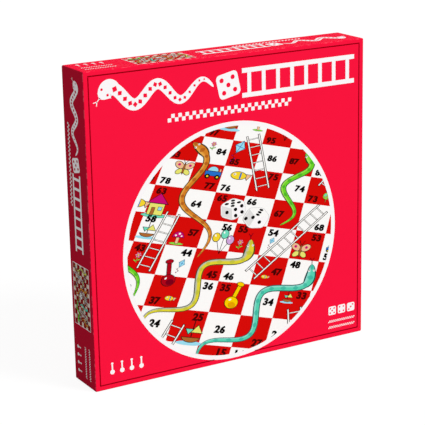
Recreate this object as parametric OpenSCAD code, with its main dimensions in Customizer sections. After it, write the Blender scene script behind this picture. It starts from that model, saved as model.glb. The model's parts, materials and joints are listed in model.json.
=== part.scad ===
// Boxed snakes and ladders game: telescoping card box, folding board, insert, rules, pawns and die.
// X is the width, Y the depth with the cover facing -Y, Z is up; the box stands on one edge at z = 0.

/* [Box] */
// Outer width of the closed box, and its height as it stands
box_w = 266.7; // [240:0.1:320]
// Outer depth of the closed box, cover to tray bottom
box_d = 38.5; // [35:0.1:60]
// Radius of the four corners of the cover
corner_r = 1.2; // [0.8:0.1:4]
// How far the tray shows past the rim of the lid
rim_show = 0.4; // [0.2:0.1:4]
// Running gap between lid and tray on each side
lid_gap = 0.45; // [0.3:0.05:1]

/* [Greyboard and paper] */
// Thickness of the greyboard
grey_t = 1.6; // [1.2:0.1:2]
// Thickness of the wrapping paper
paper_t = 0.25; // [0.15:0.05:0.4]
// Depth of paper turned in over each rim
turn_in = 18; // [8:1:24]
// Thickness of the corner stay tape
stay_t = 0.15; // [0.1:0.05:0.25]
// Width of each leg of a corner stay
stay_w = 20; // [10:1:30]
// Width of the cut between two scored panels
score_gap = 0.1; // [0.05:0.05:0.2]

/* [Insert] */
// Thickness of the folded card
card_t = 0.6; // [0.4:0.1:1]
// Gap between the insert and the tray walls
insert_gap = 0.4; // [0.3:0.1:0.8]
// Gap from each piece to what it lies on
seat_gap = 0.3; // [0.2:0.05:0.4]
// Gap from the contents to the inside of the cover
head_gap = 0.9; // [0.5:0.1:2]

/* [Game board] */
// Height and width that the open board leaves free in the tray
board_slack = 3.4; // [2:0.1:6]
// Thickness of one leaf's core
core_t = 1.8; // [1.2:0.1:2.2]
// Thickness of the printed face sheet, and of the backing sheet
sheet_t = 0.15; // [0.1:0.05:0.3]
// Thickness of the hinge tape
tape_t = 0.2; // [0.1:0.05:0.3]
// Width of hinge tape on each leaf
tape_w = 14; // [8:1:24]
// Gap between the two printed faces when folded
fold_gap = 0.6; // [0.5:0.1:1]
// Gap from each core to the fold line
hinge_gap = 0.3; // [0.2:0.05:0.6]
// White margin round the grid of squares
grid_margin = 7; // [4:0.5:12]

/* [Pieces] */
// Height of a pawn
pawn_h = 25; // [18:0.5:32]
// Diameter of a pawn's foot
pawn_d = 15.5; // [12:0.1:17]
// Width of the die
die_w = 15; // [11:0.1:16]
// Radius of the ball that rounds the die's corners
die_ball_r = 10.5; // [10.2:0.1:11]
// Free width beside each piece in the well
piece_gap = 1.7; // [0.8:0.1:2.5]

/* [Rules] */
// Thickness of the rules sheet
leaflet_t = 0.14; // [0.08:0.01:0.2]
// Gap between two plies of the folded rules
ply_gap = 0.1; // [0.06:0.01:0.16]
// Width of the board's leaf that the rules leave free
rules_slack_w = 9; // [4:1:30]
// Height of the board that the rules leave free
rules_slack_h = 18; // [4:1:60]

/* [Print] */
// Thickness of one layer of ink
ink_t = 0.06; // [0.03:0.01:0.07]
// Red border left beside the white disc
disc_margin = 29.35; // [20:0.05:40]
// Red border left under the white disc
disc_foot = 2.6; // [1:0.1:12]
// Width of the white ring round the picture
ring_w = 4; // [2:0.1:8]
// Border beside the title ornament
title_margin = 9.8; // [6:0.1:20]
// Border above the title ornament
title_top = 12.8; // [8:0.1:16]
// Inset of the fine line from the cover's edges
line_inset = 4.6; // [3:0.1:6]
// Width of the fine line
line_w = 0.8; // [0.3:0.1:1]
// Height of the ornament on the sides
side_title_h = 14.4; // [10:0.1:16]
// Border above the ornament on the sides
side_title_end = 7.5; // [4:0.1:12]
// Gap between the ornament and the small picture on the sides
side_picture_gap = 8.5; // [4:0.1:14]
// Border on each long side of the small picture
side_picture_margin = 4.6; // [2.5:0.1:8]

/* [Hidden] */
$fn = 64;
disc_fn = 128;

// Lid and tray
cover_y = -box_d / 2;
back_y = box_d / 2;
wall_t = grey_t + 2 * paper_t;
panel_t = grey_t + paper_t;
lid_depth = box_d - rim_show;
ceiling_y = cover_y + panel_t;
floor_y = back_y - panel_t;
tray_w = box_w - 2 * (wall_t + lid_gap);
tray_in_w = tray_w - 2 * wall_t;
tray_depth = box_d - panel_t - seat_gap;
tray_corner_r = corner_r / 2;
tray_low_z = (box_w - tray_in_w) / 2;
cut_over = 1;

// Folding board: closed, its spine is at the left wall of the tray
board_side = tray_in_w - board_slack;
leaf_w = board_side / 2;
leaf_t = core_t + 2 * sheet_t;
fold_t = 2 * (leaf_t + tape_t) + fold_gap;
spine_gap = 0.7;
spine_x = spine_gap - tray_in_w / 2;
board_z = tray_low_z + seat_gap;
hinge_y = ceiling_y + head_gap + fold_t / 2;
face_y = fold_gap / 2;
cells = 10;
cell_w = (board_side - 2 * grid_margin) / cells;

// Rules leaflet under the board
plies = 4;
rules_t = plies * leaflet_t + (plies - 1) * ply_gap;
rules_w = leaf_w - rules_slack_w;
rules_h = board_side - rules_slack_h;
rules_y = hinge_y + fold_t / 2 + seat_gap;

// Insert, a strip of card folded into a platform, a step and a well
insert_w = tray_in_w - 2 * insert_gap;
insert_x = insert_w / 2;
bay_y = rules_y + rules_t + seat_gap;
top_y = ceiling_y + head_gap;
well_floor_y = floor_y - seat_gap - card_t;
step_gap = 0.7;
step_x = spine_x + leaf_w + step_gap;
piece_count = 5;
slot_w = max(pawn_d, die_w) + piece_gap;
well_w = piece_count * slot_w;
well_x = (step_x + insert_x - well_w) / 2;
piece_y = (top_y + well_floor_y) / 2;

// Pawn: foot, dome, stem and cap, as shares of its foot and height
foot_h_share = 0.1;
dome_share = 0.4;
dome_rise_share = 0.36;
stem_share = 0.17;
cap_share = 0.22;
cap_h_share = 0.1;
hollow_share = 0.34;
hollow_h_share = 0.05;

// Die: place of each pip on a face, and which faces carry how many
pip_r_share = 0.09;
pip_out_share = 0.26;
pip_recess = 0.5;
pip_paint_t = 0.3;
corners_on = [[-1, -1], [1, 1], [-1, 1], [1, -1]];
middles_on = [[-1, 0], [1, 0]];
centre_on = [[0, 0]];
pips_on = [
    centre_on,
    [corners_on[0], corners_on[1]],
    concat(centre_on, [corners_on[0], corners_on[1]]),
    corners_on,
    concat(centre_on, corners_on),
    concat(corners_on, middles_on)];
face_turns = [[0, 0, 0], [90, 0, 0], [0, 90, 0], [0, -90, 0], [-90, 0, 0], [180, 0, 0]];

// Cover picture: a board seen at a slant, its corners as shares of the disc's radius
disc_r = box_w / 2 - disc_margin;
disc_z = disc_foot + disc_r;
picture_r = disc_r - ring_w;
corner_shares = [[-2.11, -0.89], [1.1, -1.87], [1.72, 0.63], [-0.92, 1.29]];

// Ladders run from foot to top and snakes from head to tail, as shares of one cell of the board
ladder_place_shares = [
    [[3.7, 0.6], [4.2, 2.6]], [[8.2, 1.4], [7.6, 3.4]], [[2.6, 4.1], [2.9, 6.1]],
    [[5.9, 4.3], [7.7, 6.9]], [[5.5, 7.3], [4.6, 9.3]], [[0.5, 6.6], [1.6, 8.5]],
    [[7.5, 7.6], [8.5, 9.4]]];
ladder_share = 0.4;
ladder_rail_share = 0.08;
rung_share = 0.6;
rung_step_share = 0.28;
// Each snake: head, tail, number of waves, height of a wave, colour slot
snake_place_shares = [
    [[2.7, 8.7], [4.1, 4.7], 1.5, 0.42, 0], [[6.6, 8.9], [6.4, 6.1], 1.5, 0.34, 1],
    [[5.6, 5.5], [3.2, 2.1], 2, 0.38, 2], [[7.8, 4.9], [5.1, 1.3], 2, 0.4, 3],
    [[1, 6], [2.6, 3.2], 1.5, 0.25, 1], [[8.6, 7.4], [9, 3.5], 2, 0.3, 0]];
snake_share = 0.22;
tail_share = 0.2;
nose_share = 0.5;
head_share = 0.85;
head_len_share = 0.14;
snake_steps = 40;
step_share = 0.5 / snake_steps;

// Dice and pawns in the picture: place and size as shares of one cell, and turn
picture_dice_shares = [[4.7, 6.5], [5.55, 6.3]];
picture_dice_turns = [20, -14];
picture_dice_pips = [5, 3];
picture_die_share = 0.74;
picture_pawn_shares = [[3.5, 3.7], [5.55, 3.2]];
picture_pawn_turns = [14, -12];
picture_pawn_share = 1.15;
picture_cell_share = 0.8;

// Title ornament: snake, die and ladder in a row, as shares of its height
title_w = box_w - 2 * title_margin;
title_len_share = 10;
title_h = title_w / title_len_share;
title_snake_share = [[0.16, 0.1], [4.36, 0], 2.5, 0.3];
title_body_share = 0.4;
title_die_share = 0.84;
title_die_place_share = 4.92;
title_die_turn = 12;
ladder_start_share = 5.45;
title_rail_share = 0.16;
title_rung_share = 0.15;
title_rungs = 8;

// Chequer strip under the title and small marks near the foot of the cover
strip_w_share = 0.48;
strip_cells = 36;
strip_drop_share = 0.48;
mark_inset_share = 0.32;
mark_share = 0.28;
mark_step_share = 1.3;
pawn_mark_share = 1.5;
die_mark_share = 1.2;
die_step_share = 1.6;

// Small picture on each side
side_cells = 13;
side_rows = 7;
side_strip_cells = 42;
side_strip_drop_share = 0.38;

// A point of the board's grid, in cells, as it falls on the slanted picture
function quad_pt(s, t, q) =
    let (d1 = q[1] - q[2], d2 = q[3] - q[2], sum = q[0] - q[1] + q[2] - q[3],
        det = d1[0] * d2[1] - d1[1] * d2[0],
        g = (sum[0] * d2[1] - sum[1] * d2[0]) / det,
        h = (d1[0] * sum[1] - d1[1] * sum[0]) / det,
        a = q[1] - q[0] + g * q[1], b = q[3] - q[0] + h * q[3])
    (a * s + b * t + q[0]) / (g * s + h * t + 1);
function on_picture(p) = disc_r * quad_pt(p[0] / cells, p[1] / cells, corner_shares);
function on_board(p) = [(p[0] - cells / 2) * cell_w, (p[1] - cells / 2) * cell_w];
function place(p, slanted) = slanted ? on_picture(p) : on_board(p);

// A snake's outline: a body on a wave from head to tail, w wide, swelling at the head and tapering
function unit_of(v) = v / norm(v);
function across_of(v) = [-v[1], v[0]] / norm(v);
function half_width(s, w) = w / 2 * (s < head_len_share
    ? nose_share + (1 - nose_share) * s / head_len_share + head_share * sin(180 * s / head_len_share)
    : 1 - (1 - tail_share) * pow(s, 3));
function snake_mid(sn, s) = sn[0] + (sn[1] - sn[0]) * s
    + across_of(sn[1] - sn[0]) * sn[3] * sin(360 * sn[2] * s);
function snake_across(sn, s) = across_of(snake_mid(sn, s + step_share) - snake_mid(sn, s - step_share));
function snake_pt(sn, s, w) = snake_mid(sn, s) + snake_across(sn, s) * half_width(s, w);
function snake_outline(sn, w) = concat(
    [for (i = [0:snake_steps]) snake_pt(sn, i / snake_steps, w)],
    [for (i = [snake_steps:-1:0]) snake_pt(sn, i / snake_steps, -w)]);

// Flat shapes
module rounded_square(w, r) {
    square([w - 2 * r, w], center = true);
    square([w, w - 2 * r], center = true);
    for (x = [-1, 1], y = [-1, 1]) translate([x, y] * (w / 2 - r)) circle(r);
}
module plate(w, r, h) { linear_extrude(h) rounded_square(w, r); }

// A ring of four walls, cut along the diagonals so that each wall is a piece
module ring(w, r, t, h0, h1) {
    translate([0, 0, h0]) difference() {
        plate(w, r, h1 - h0);
        translate([0, 0, -cut_over]) plate(w - 2 * t, max(r - t, score_gap), h1 - h0 + 2 * cut_over);
    }
}
module mitre_cuts(w, h) {
    for (a = [45, -45]) rotate(a)
        translate([-w, -score_gap / 2, -cut_over]) cube([2 * w, score_gap, h + 2 * cut_over]);
}

// Card shell in its own frame: outer face at z = 0, walls rising to depth
module stays(w, r, depth) {
    in_w = w - 2 * paper_t;
    in_r = r - paper_t;
    intersection() {
        ring(in_w, in_r, stay_t, panel_t + score_gap, depth - paper_t);
        for (x = [-1, 1], y = [-1, 1]) translate([x * in_w / 2, y * in_w / 2, depth / 2])
            cube([2 * stay_w, 2 * stay_w, depth], center = true);
    }
}
module greyboard(w, r, depth) {
    in_w = w - 2 * paper_t;
    in_r = r - paper_t;
    translate([0, 0, paper_t]) plate(in_w, in_r, grey_t);
    difference() {
        ring(in_w, in_r, grey_t, panel_t + score_gap, depth - paper_t);
        mitre_cuts(w, depth);
        stays(w, r, depth);
    }
}
module wrap(w, r, depth) {
    plate(w, r, paper_t);
    difference() {
        union() {
            ring(w, r, paper_t, paper_t + score_gap, depth);
            ring(w, r, wall_t, depth - paper_t, depth);
            ring(w - 2 * panel_t, max(r - panel_t, score_gap), paper_t, depth - turn_in, depth);
        }
        mitre_cuts(w, depth);
    }
}
module in_lid() { translate([0, cover_y, box_w / 2]) rotate([-90, 0, 0]) children(); }
module in_tray() { translate([0, back_y, box_w / 2]) rotate([90, 0, 0]) children(); }

module lid_board() { color("darkgray") in_lid() greyboard(box_w, corner_r, lid_depth); }
module lid_corner_stays() { color("burlywood") in_lid() stays(box_w, corner_r, lid_depth); }
module lid_wrap() { color("crimson") in_lid() wrap(box_w, corner_r, lid_depth); }
module tray_board() { color("darkgray") in_tray() greyboard(tray_w, tray_corner_r, tray_depth); }
module tray_corner_stays() { color("burlywood") in_tray() stays(tray_w, tray_corner_r, tray_depth); }
module tray_wrap() { color("firebrick") in_tray() wrap(tray_w, tray_corner_r, tray_depth); }

// A layer of ink on the cover, from the cover's middle, and one on the top and both standing sides
module on_cover(layer) {
    translate([0, cover_y - layer * ink_t, box_w / 2]) rotate([90, 0, 0]) linear_extrude(ink_t) children();
}
module on_sides(layer) {
    for (turn = [-90, 0, 90]) translate([0, cover_y + lid_depth / 2, box_w / 2]) rotate([0, turn, 0])
        rotate(180) translate([0, 0, box_w / 2 + layer * ink_t]) linear_extrude(ink_t) children();
}

// Ornament of snake, die and ladder, h high, centred
module title_snake(h) {
    translate([-h * title_len_share / 2, 0]) polygon(h * snake_outline(title_snake_share, title_body_share));
}
module pips_2d(w, n) {
    for (p = pips_on[n - 1]) translate(p * pip_out_share * w) circle(pip_r_share * w);
}
module die_2d(w, n) {
    difference() {
        rounded_square(w, w * pip_r_share * 2);
        pips_2d(w, n);
    }
}
module ladder_2d(len, h, rungs) {
    rail = h * title_rail_share;
    for (y = [0, h - rail]) translate([0, y - h / 2]) square([len, rail]);
    for (i = [0:rungs - 1]) translate([(i + 0.5) * len / rungs - h * title_rung_share / 2, rail / 2 - h / 2])
        square([h * title_rung_share, h - rail]);
}
module ornament(h) {
    title_snake(h);
    translate([h * (title_die_place_share - title_len_share / 2), 0])
        rotate(title_die_turn) die_2d(h * title_die_share, 5);
    translate([h * (ladder_start_share - title_len_share / 2), 0])
        ladder_2d(h * (title_len_share - ladder_start_share), h, title_rungs);
}
module chequer_strip(w, count) {
    cell = w / count;
    for (i = [0:count - 1]) translate([i * cell - w / 2, (i % 2) * cell]) square(cell);
}
module pawn_2d(h) {
    translate([0, h * dome_rise_share / 2]) circle(h * dome_rise_share / 2);
    translate([-h * stem_share / 2, 0]) square([h * stem_share, h]);
}

module cover_print_white() {
    mark = title_h * mark_share;
    die_mark = mark * die_mark_share;
    low = title_h * mark_inset_share + line_inset;
    high = box_w / 2 - low - mark / 2;
    color("white") on_cover(0) {
        translate([0, disc_z - box_w / 2]) circle(disc_r, $fn = disc_fn);
        translate([0, box_w / 2 - title_top - title_h / 2]) ornament(title_h);
        translate([0, box_w / 2 - title_top - title_h * (1 + strip_drop_share)])
            chequer_strip(title_w * strip_w_share, strip_cells);
        for (i = [0:3]) translate([low - box_w / 2 + mark * (0.5 + i * mark_step_share), low - box_w / 2])
            pawn_2d(mark * pawn_mark_share);
        for (i = [0:1]) translate([high - mark * i * die_step_share, low - box_w / 2 + die_mark / 2])
            die_2d(die_mark, 3 + 2 * i);
    }
}
module cell_2d(i, j, slanted) {
    polygon([for (p = [[0, 0], [1, 0], [1, 1], [0, 1]]) place([i, j] + p, slanted)]);
}
module at_disc() { translate([0, disc_z - box_w / 2]) children(); }
module in_picture() {
    at_disc() intersection() {
        circle(picture_r, $fn = disc_fn);
        union() children();
    }
}
module red_cells(slanted, from = 0, to = cells - 1) {
    for (i = [from:to], j = [0:cells - 1]) if ((i + j) % 2 == 0) cell_2d(i, j, slanted);
}
module bar_cell(a, b, w, slanted) {
    dir = unit_of(b - a);
    side = [-dir[1], dir[0]] * w / 2;
    polygon([for (p = [a - side, b - side, b + side, a + side]) place(p, slanted)]);
}
module ladder_cells(slanted) {
    for (l = ladder_place_shares) {
        along = unit_of(l[1] - l[0]);
        half = [-along[1], along[0]] * ladder_share / 2;
        for (s = [-1, 1]) bar_cell(l[0] + half * s, l[1] + half * s, ladder_rail_share, slanted);
        for (d = [rung_step_share / 2:rung_step_share:norm(l[1] - l[0])])
            bar_cell(l[0] + along * d - half, l[0] + along * d + half,
                ladder_rail_share * rung_share, slanted);
    }
}
module snake_cells(slanted, slots) {
    for (sn = snake_place_shares) if (len(search(sn[4], slots)) > 0)
        polygon([for (p = snake_outline(sn, snake_share)) place(p, slanted)]);
}

module cover_print_red() { color("red") on_cover(1) in_picture() red_cells(true); }
module cover_print_line() {
    color("maroon") on_cover(0) difference() {
        square(box_w - 2 * line_inset, center = true);
        square(box_w - 2 * (line_inset + line_w), center = true);
        at_disc() circle(disc_r + line_w, $fn = disc_fn);
    }
}
module cover_print_ladders() { color("gainsboro") on_cover(2) in_picture() ladder_cells(true); }
module at_cell(p, turn) { translate(on_picture(p)) rotate(turn) children(); }
picture_cell = disc_r * norm(corner_shares[1] - corner_shares[0]) / cells * picture_cell_share;
module cover_print_dice() {
    color("white") on_cover(4) at_disc() for (i = [0:1])
        at_cell(picture_dice_shares[i], picture_dice_turns[i])
            die_2d(picture_cell * picture_die_share, picture_dice_pips[i]);
}
module cover_print_pawn_red() {
    color("red") on_cover(4) at_disc() at_cell(picture_pawn_shares[0], picture_pawn_turns[0])
        pawn_2d(picture_cell * picture_pawn_share);
}
module cover_print_pawn_yellow() {
    color("gold") on_cover(4) at_disc() at_cell(picture_pawn_shares[1], picture_pawn_turns[1])
        pawn_2d(picture_cell * picture_pawn_share);
}
module cover_print_orange() { color("darkorange") on_cover(3) in_picture() snake_cells(true, [0]); }
module cover_print_green() { color("limegreen") on_cover(3) in_picture() snake_cells(true, [1]); }
module cover_print_yellow() { color("gold") on_cover(3) in_picture() snake_cells(true, [2]); }
module cover_print_teal() { color("turquoise") on_cover(3) in_picture() snake_cells(true, [3]); }

// Side prints, read with the cover edge uppermost; x runs along the side
side_title_w = side_title_h * title_len_share;
side_picture_h = lid_depth - 2 * side_picture_margin;
side_cell = side_picture_h / side_rows;
side_picture_w = side_cells * side_cell;
side_picture_x = side_title_end + side_title_w + side_picture_gap - box_w / 2;
module side_print_white() {
    color("white") on_sides(0) {
        translate([side_title_end + side_title_w / 2 - box_w / 2, 0]) {
            ornament(side_title_h);
            translate([0, -side_title_h * (0.5 + side_strip_drop_share)])
                chequer_strip(side_title_w * strip_w_share, side_strip_cells);
        }
        translate([side_picture_x, -side_picture_h / 2]) square([side_picture_w, side_picture_h]);
    }
}
module side_print_red() {
    color("red") on_sides(1) for (i = [0:side_cells - 1], j = [0:side_rows - 1]) if ((i + j) % 2 == 0)
        translate([side_picture_x + i * side_cell, j * side_cell - side_picture_h / 2]) square(side_cell);
}

// Insert: each panel of the folded card between its scores, from x0 to x1 and y0 to y1
module panel(x0, x1, y0, y1) {
    translate([x0, y0, tray_low_z + insert_gap]) cube([x1 - x0, y1 - y0, insert_w]);
}
module insert() {
    foot_y = floor_y - seat_gap;
    color("whitesmoke") {
        panel(-insert_x, card_t - insert_x, bay_y + card_t + score_gap, foot_y);
        panel(-insert_x, step_x - score_gap, bay_y, bay_y + card_t);
        panel(step_x, step_x + card_t, top_y + card_t + score_gap, bay_y + card_t);
        panel(step_x, well_x, top_y, top_y + card_t);
        panel(well_x - card_t, well_x, top_y + card_t + score_gap, well_floor_y - score_gap);
        panel(well_x - card_t, well_x + well_w + card_t, well_floor_y, foot_y);
        panel(well_x + well_w, well_x + well_w + card_t, top_y + card_t + score_gap,
            well_floor_y - score_gap);
        panel(well_x + well_w, insert_x, top_y, top_y + card_t);
        panel(insert_x - card_t, insert_x, top_y + card_t + score_gap, foot_y);
    }
}

// Board leaves, drawn open about the fold line; the left one is turned over onto the right one
module on_leaf(side) {
    translate([spine_x, hinge_y, board_z]) rotate([0, 0, side < 0 ? 180 : 0]) children();
}
module leaf_slab(side, gap, w, y0, t) {
    on_leaf(side) translate([side < 0 ? -gap - w : gap, face_y + y0, 0]) cube([w, t, board_side]);
}
module leaf_print(side, layer) {
    on_leaf(side) translate([0, face_y - layer * ink_t, board_side / 2]) rotate([90, 0, 0])
        linear_extrude(ink_t) intersection() {
            translate([side < 0 ? -leaf_w : hinge_gap, -leaf_w]) square([leaf_w - hinge_gap, board_side]);
            union() children();
        }
}
module leaf_core(side) { leaf_slab(side, hinge_gap, leaf_w - hinge_gap, sheet_t, core_t); }
module leaf_face(side) { leaf_slab(side, hinge_gap, leaf_w - hinge_gap, 0, sheet_t); }
module leaf_back(side) { leaf_slab(side, hinge_gap, leaf_w - hinge_gap, sheet_t + core_t, sheet_t); }
module leaf_tape(side) { leaf_slab(side, hinge_gap, tape_w, leaf_t, tape_t); }

module board_core_left() { color("gray") leaf_core(-1); }
module board_core_right() { color("gray") leaf_core(1); }
module board_face_left() { color("white") leaf_face(-1); }
module board_face_right() { color("white") leaf_face(1); }
module board_back_left() { color("firebrick") leaf_back(-1); }
module board_back_right() { color("firebrick") leaf_back(1); }
module board_tape_left() { color("maroon") leaf_tape(-1); }
module board_tape_right() { color("maroon") leaf_tape(1); }
module board_print_red_left() { color("red") leaf_print(-1, 0) red_cells(false, 0, cells / 2 - 1); }
module board_print_red_right() { color("red") leaf_print(1, 0) red_cells(false, cells / 2, cells - 1); }
module board_print_ladders_left() { color("gainsboro") leaf_print(-1, 1) ladder_cells(false); }
module board_print_ladders_right() { color("gainsboro") leaf_print(1, 1) ladder_cells(false); }
module board_print_snakes_left() { color("limegreen") leaf_print(-1, 2) snake_cells(false, [0, 1, 2, 3]); }
module board_print_snakes_right() { color("limegreen") leaf_print(1, 2) snake_cells(false, [0, 1, 2, 3]); }

// Rules: one sheet folded to and fro
module rules_leaflet() {
    pitch = leaflet_t + ply_gap;
    color("ivory") translate([spine_x + rules_slack_w / 2, rules_y, board_z]) {
        for (i = [0:plies - 1]) translate([0, i * pitch, 0]) cube([rules_w, leaflet_t, rules_h]);
        for (i = [0:plies - 2]) translate([i % 2 == 0 ? rules_w - leaflet_t : 0, i * pitch, 0])
            cube([leaflet_t, pitch + leaflet_t, rules_h]);
    }
}

// Pawn standing on its foot
module pawn_shape() {
    r = pawn_d / 2;
    foot_h = pawn_h * foot_h_share;
    difference() {
        rotate_extrude() intersection() {
            union() {
                square([r, foot_h]);
                translate([0, foot_h]) circle(pawn_d * dome_share);
                square([pawn_d * stem_share, pawn_h]);
                translate([0, pawn_h * (1 - cap_h_share)]) square([pawn_d * cap_share, pawn_h * cap_h_share]);
            }
            square([r, pawn_h]);
        }
        translate([0, 0, -cut_over])
            cylinder(r = pawn_d * hollow_share, h = cut_over + pawn_h * hollow_h_share);
    }
}
module in_slot(i) { translate([well_x + (i + 0.5) * slot_w, piece_y, board_z]) children(); }
module pawn_red() { color("red") in_slot(0) pawn_shape(); }
module pawn_yellow() { color("gold") in_slot(1) pawn_shape(); }
module pawn_green() { color("green") in_slot(2) pawn_shape(); }
module pawn_blue() { color("royalblue") in_slot(3) pawn_shape(); }

// Die with round dents, and the paint in them
module at_pips(depth) {
    for (n = [1:6]) rotate(face_turns[n - 1]) for (p = pips_on[n - 1])
        translate([p[0] * pip_out_share * die_w, p[1] * pip_out_share * die_w, die_w / 2 - depth]) children();
}
module in_die() { in_slot(4) translate([0, 0, die_w / 2]) children(); }
module die() {
    color("white") in_die() difference() {
        intersection() {
            cube(die_w, center = true);
            sphere(die_ball_r);
        }
        at_pips(pip_recess) cylinder(r = die_w * pip_r_share, h = cut_over);
    }
}
module die_pips() {
    color("black") in_die() at_pips(pip_recess) cylinder(r = die_w * pip_r_share, h = pip_paint_t);
}

lid_board();
lid_corner_stays();
lid_wrap();
cover_print_white();
cover_print_red();
cover_print_line();
cover_print_ladders();
cover_print_orange();
cover_print_green();
cover_print_yellow();
cover_print_teal();
cover_print_dice();
cover_print_pawn_red();
cover_print_pawn_yellow();
side_print_white();
side_print_red();
tray_board();
tray_corner_stays();
tray_wrap();
insert();
board_core_left();
board_core_right();
board_face_left();
board_face_right();
board_back_left();
board_back_right();
board_tape_left();
board_tape_right();
board_print_red_left();
board_print_red_right();
board_print_ladders_left();
board_print_ladders_right();
board_print_snakes_left();
board_print_snakes_right();
rules_leaflet();
pawn_red();
pawn_yellow();
pawn_green();
pawn_blue();
die();
die_pips();
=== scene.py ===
import json
from math import cos, pi, radians, sin, sqrt

import bmesh
import bpy
from mathutils import Matrix, Vector

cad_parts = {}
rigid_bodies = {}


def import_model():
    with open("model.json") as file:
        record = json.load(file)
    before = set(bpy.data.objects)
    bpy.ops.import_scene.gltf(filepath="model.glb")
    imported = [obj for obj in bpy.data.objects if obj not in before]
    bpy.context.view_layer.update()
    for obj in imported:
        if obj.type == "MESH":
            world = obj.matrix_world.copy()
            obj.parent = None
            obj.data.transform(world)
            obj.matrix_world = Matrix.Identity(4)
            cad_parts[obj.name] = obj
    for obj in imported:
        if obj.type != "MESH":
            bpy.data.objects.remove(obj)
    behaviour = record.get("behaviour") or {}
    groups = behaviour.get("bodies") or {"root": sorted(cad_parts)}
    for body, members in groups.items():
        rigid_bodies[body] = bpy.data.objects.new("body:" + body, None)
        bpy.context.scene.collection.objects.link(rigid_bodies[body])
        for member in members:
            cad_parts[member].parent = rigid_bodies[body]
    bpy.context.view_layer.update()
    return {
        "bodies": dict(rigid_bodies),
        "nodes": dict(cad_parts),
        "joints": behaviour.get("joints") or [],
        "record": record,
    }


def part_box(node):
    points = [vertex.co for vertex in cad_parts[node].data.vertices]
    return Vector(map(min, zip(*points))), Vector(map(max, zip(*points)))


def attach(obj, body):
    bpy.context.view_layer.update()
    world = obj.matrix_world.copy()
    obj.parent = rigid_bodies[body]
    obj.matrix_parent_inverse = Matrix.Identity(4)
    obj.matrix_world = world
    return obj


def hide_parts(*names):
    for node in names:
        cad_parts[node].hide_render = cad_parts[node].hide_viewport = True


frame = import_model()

mm = 0.001
nodes = frame["nodes"]

# Camera, at the photograph's viewing angle
view = {
    "lens": 131.26, "sensor": 36.0,
    "azimuth": -29.913, "elevation": 15.90, "roll": -1.138,
    "distance": 1.3133, "target": (-0.00859, -0.00055, 0.12945),
}


def addObject(name, data):
    made = bpy.data.objects.new(name, data)
    bpy.context.scene.collection.objects.link(made)
    return made


def addCamera():
    turn, lift, roll = (radians(view[key]) for key in ("azimuth", "elevation", "roll"))
    back = Vector((sin(turn) * cos(lift), -cos(turn) * cos(lift), sin(lift)))
    right = (-back).cross(Vector((0, 0, 1))).normalized()
    up = right.cross(-back)
    axes = Matrix((right * cos(roll) + up * sin(roll), up * cos(roll) - right * sin(roll), back))
    data = bpy.data.cameras.new("camera")
    data.lens, data.sensor_width = view["lens"], view["sensor"]
    camera = addObject("camera", data)
    camera.matrix_world = Matrix.Translation(Vector(view["target"]) + back * view["distance"]) \
        @ axes.transposed().to_4x4()
    bpy.context.scene.camera = camera


addCamera()
print("camera set")


# Shader maths: a wire is a socket that can stand in a sum
def join(tree, socket, value):
    if isinstance(value, Wire):
        tree.links.new(value.socket, socket)
    elif isinstance(value, (tuple, list)) and len(value) == 3 and len(socket.default_value) == 4:
        socket.default_value = (*value, 1.0)
    else:
        socket.default_value = value


class Wire:
    def __init__(self, tree, socket):
        self.tree, self.socket = tree, socket

    def maths(self, operation, *terms):
        node = self.tree.nodes.new("ShaderNodeMath")
        node.operation = operation
        for socket, term in zip(node.inputs, terms):
            join(self.tree, socket, term)
        return Wire(self.tree, node.outputs[0])

    def __add__(self, other):
        return self.maths("ADD", self, other)

    def __radd__(self, other):
        return self.maths("ADD", other, self)

    def __sub__(self, other):
        return self.maths("SUBTRACT", self, other)

    def __rsub__(self, other):
        return self.maths("SUBTRACT", other, self)

    def __mul__(self, other):
        return self.maths("MULTIPLY", self, other)

    def __rmul__(self, other):
        return self.maths("MULTIPLY", other, self)

    def __lt__(self, other):
        return self.maths("LESS_THAN", self, other)

    def __gt__(self, other):
        return self.maths("GREATER_THAN", self, other)

    def __abs__(self):
        return self.maths("ABSOLUTE", self)

    def sine(self):
        return self.maths("SINE", self)

    def clipped(self):
        return self.maths("MINIMUM", self.maths("MAXIMUM", self, 0.0), 1.0)


class Finish:
    def __init__(self, name, colour, roughness, ior=1.3, **sockets):
        self.material = bpy.data.materials.new(name)
        self.material.use_nodes = True
        self.tree = self.material.node_tree
        self.shader = self.tree.nodes["Principled BSDF"]
        self.set("Base Color", colour)
        self.set("Roughness", roughness)
        self.set("IOR", ior)
        for key, value in sockets.items():
            self.set(key.replace("_", " "), value)

    def set(self, key, value):
        join(self.tree, self.shader.inputs[key], value)

    def add(self, kind, settings, sockets, output=0):  # any node: its settings first, then its sockets
        node = self.tree.nodes.new("ShaderNode" + kind)
        for key, value in settings.items():
            setattr(node, key, value)
        for key, value in sockets.items():
            join(self.tree, node.inputs[key], value)
        return Wire(self.tree, node.outputs[output])

    def where(self):  # a point of the piece, in metres
        return self.add("TexCoord", {}, {}, "Object")

    def axes(self, point=None):
        split = self.tree.nodes.new("ShaderNodeSeparateXYZ")
        join(self.tree, split.inputs[0], point or self.where())
        return [Wire(self.tree, output) for output in split.outputs]

    def noise(self, scale, detail=2.0, rough=0.5, stretch=None):
        point = self.where()
        if stretch:
            point = self.add("Mapping", {}, {"Vector": point, "Scale": stretch})
        return self.add("TexNoise", {}, {"Vector": point, "Scale": scale, "Detail": detail,
                                         "Roughness": rough}, "Fac")

    def mix(self, share, first, second):
        return self.add("Mix", {"data_type": "RGBA"}, {0: share, 6: first, 7: second}, 2)

    def shaded(self, share, colour, dark):  # towards a darker shade of the same colour
        return self.mix(share, colour, tuple(part * dark for part in colour))

    def bump(self, height, distance):
        self.set("Normal", self.add("Bump", {}, {"Height": height, "Distance": distance}))


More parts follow.
